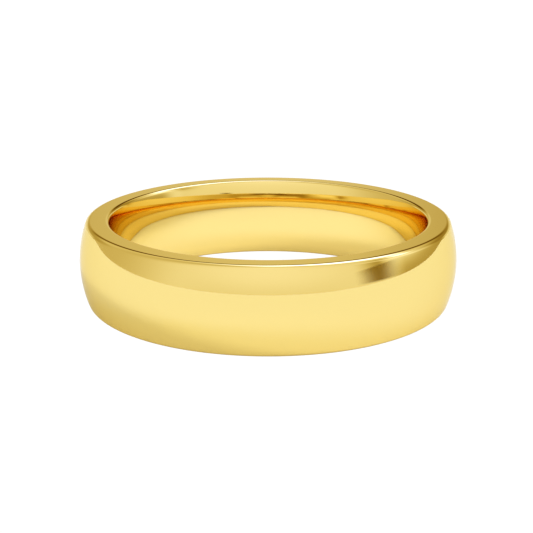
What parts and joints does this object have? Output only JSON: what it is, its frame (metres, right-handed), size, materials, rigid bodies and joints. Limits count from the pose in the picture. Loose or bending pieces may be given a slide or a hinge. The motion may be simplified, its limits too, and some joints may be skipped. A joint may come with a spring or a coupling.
{
  "type": "wedding band",
  "caption": "Plain court-section finger ring with a domed outside, flat edges and a comfort-flared bore, closed by a flush solder seam.",
  "frame": {"origin": "centre of the bore at the middle of the band's width", "axes": "+Z along the bore axis, so the band lies on its lower edge in the X-Y plane; the seam is on the -X side"},
  "size_m": [0.0226, 0.0226, 0.005],
  "materials": {
    "yellow_gold": "polished",
    "gold_solder": "polished"
  },
  "bodies": {
    "root": {"band": "yellow_gold", "solder_seam": "gold_solder"}
  },
  "joints": []
}
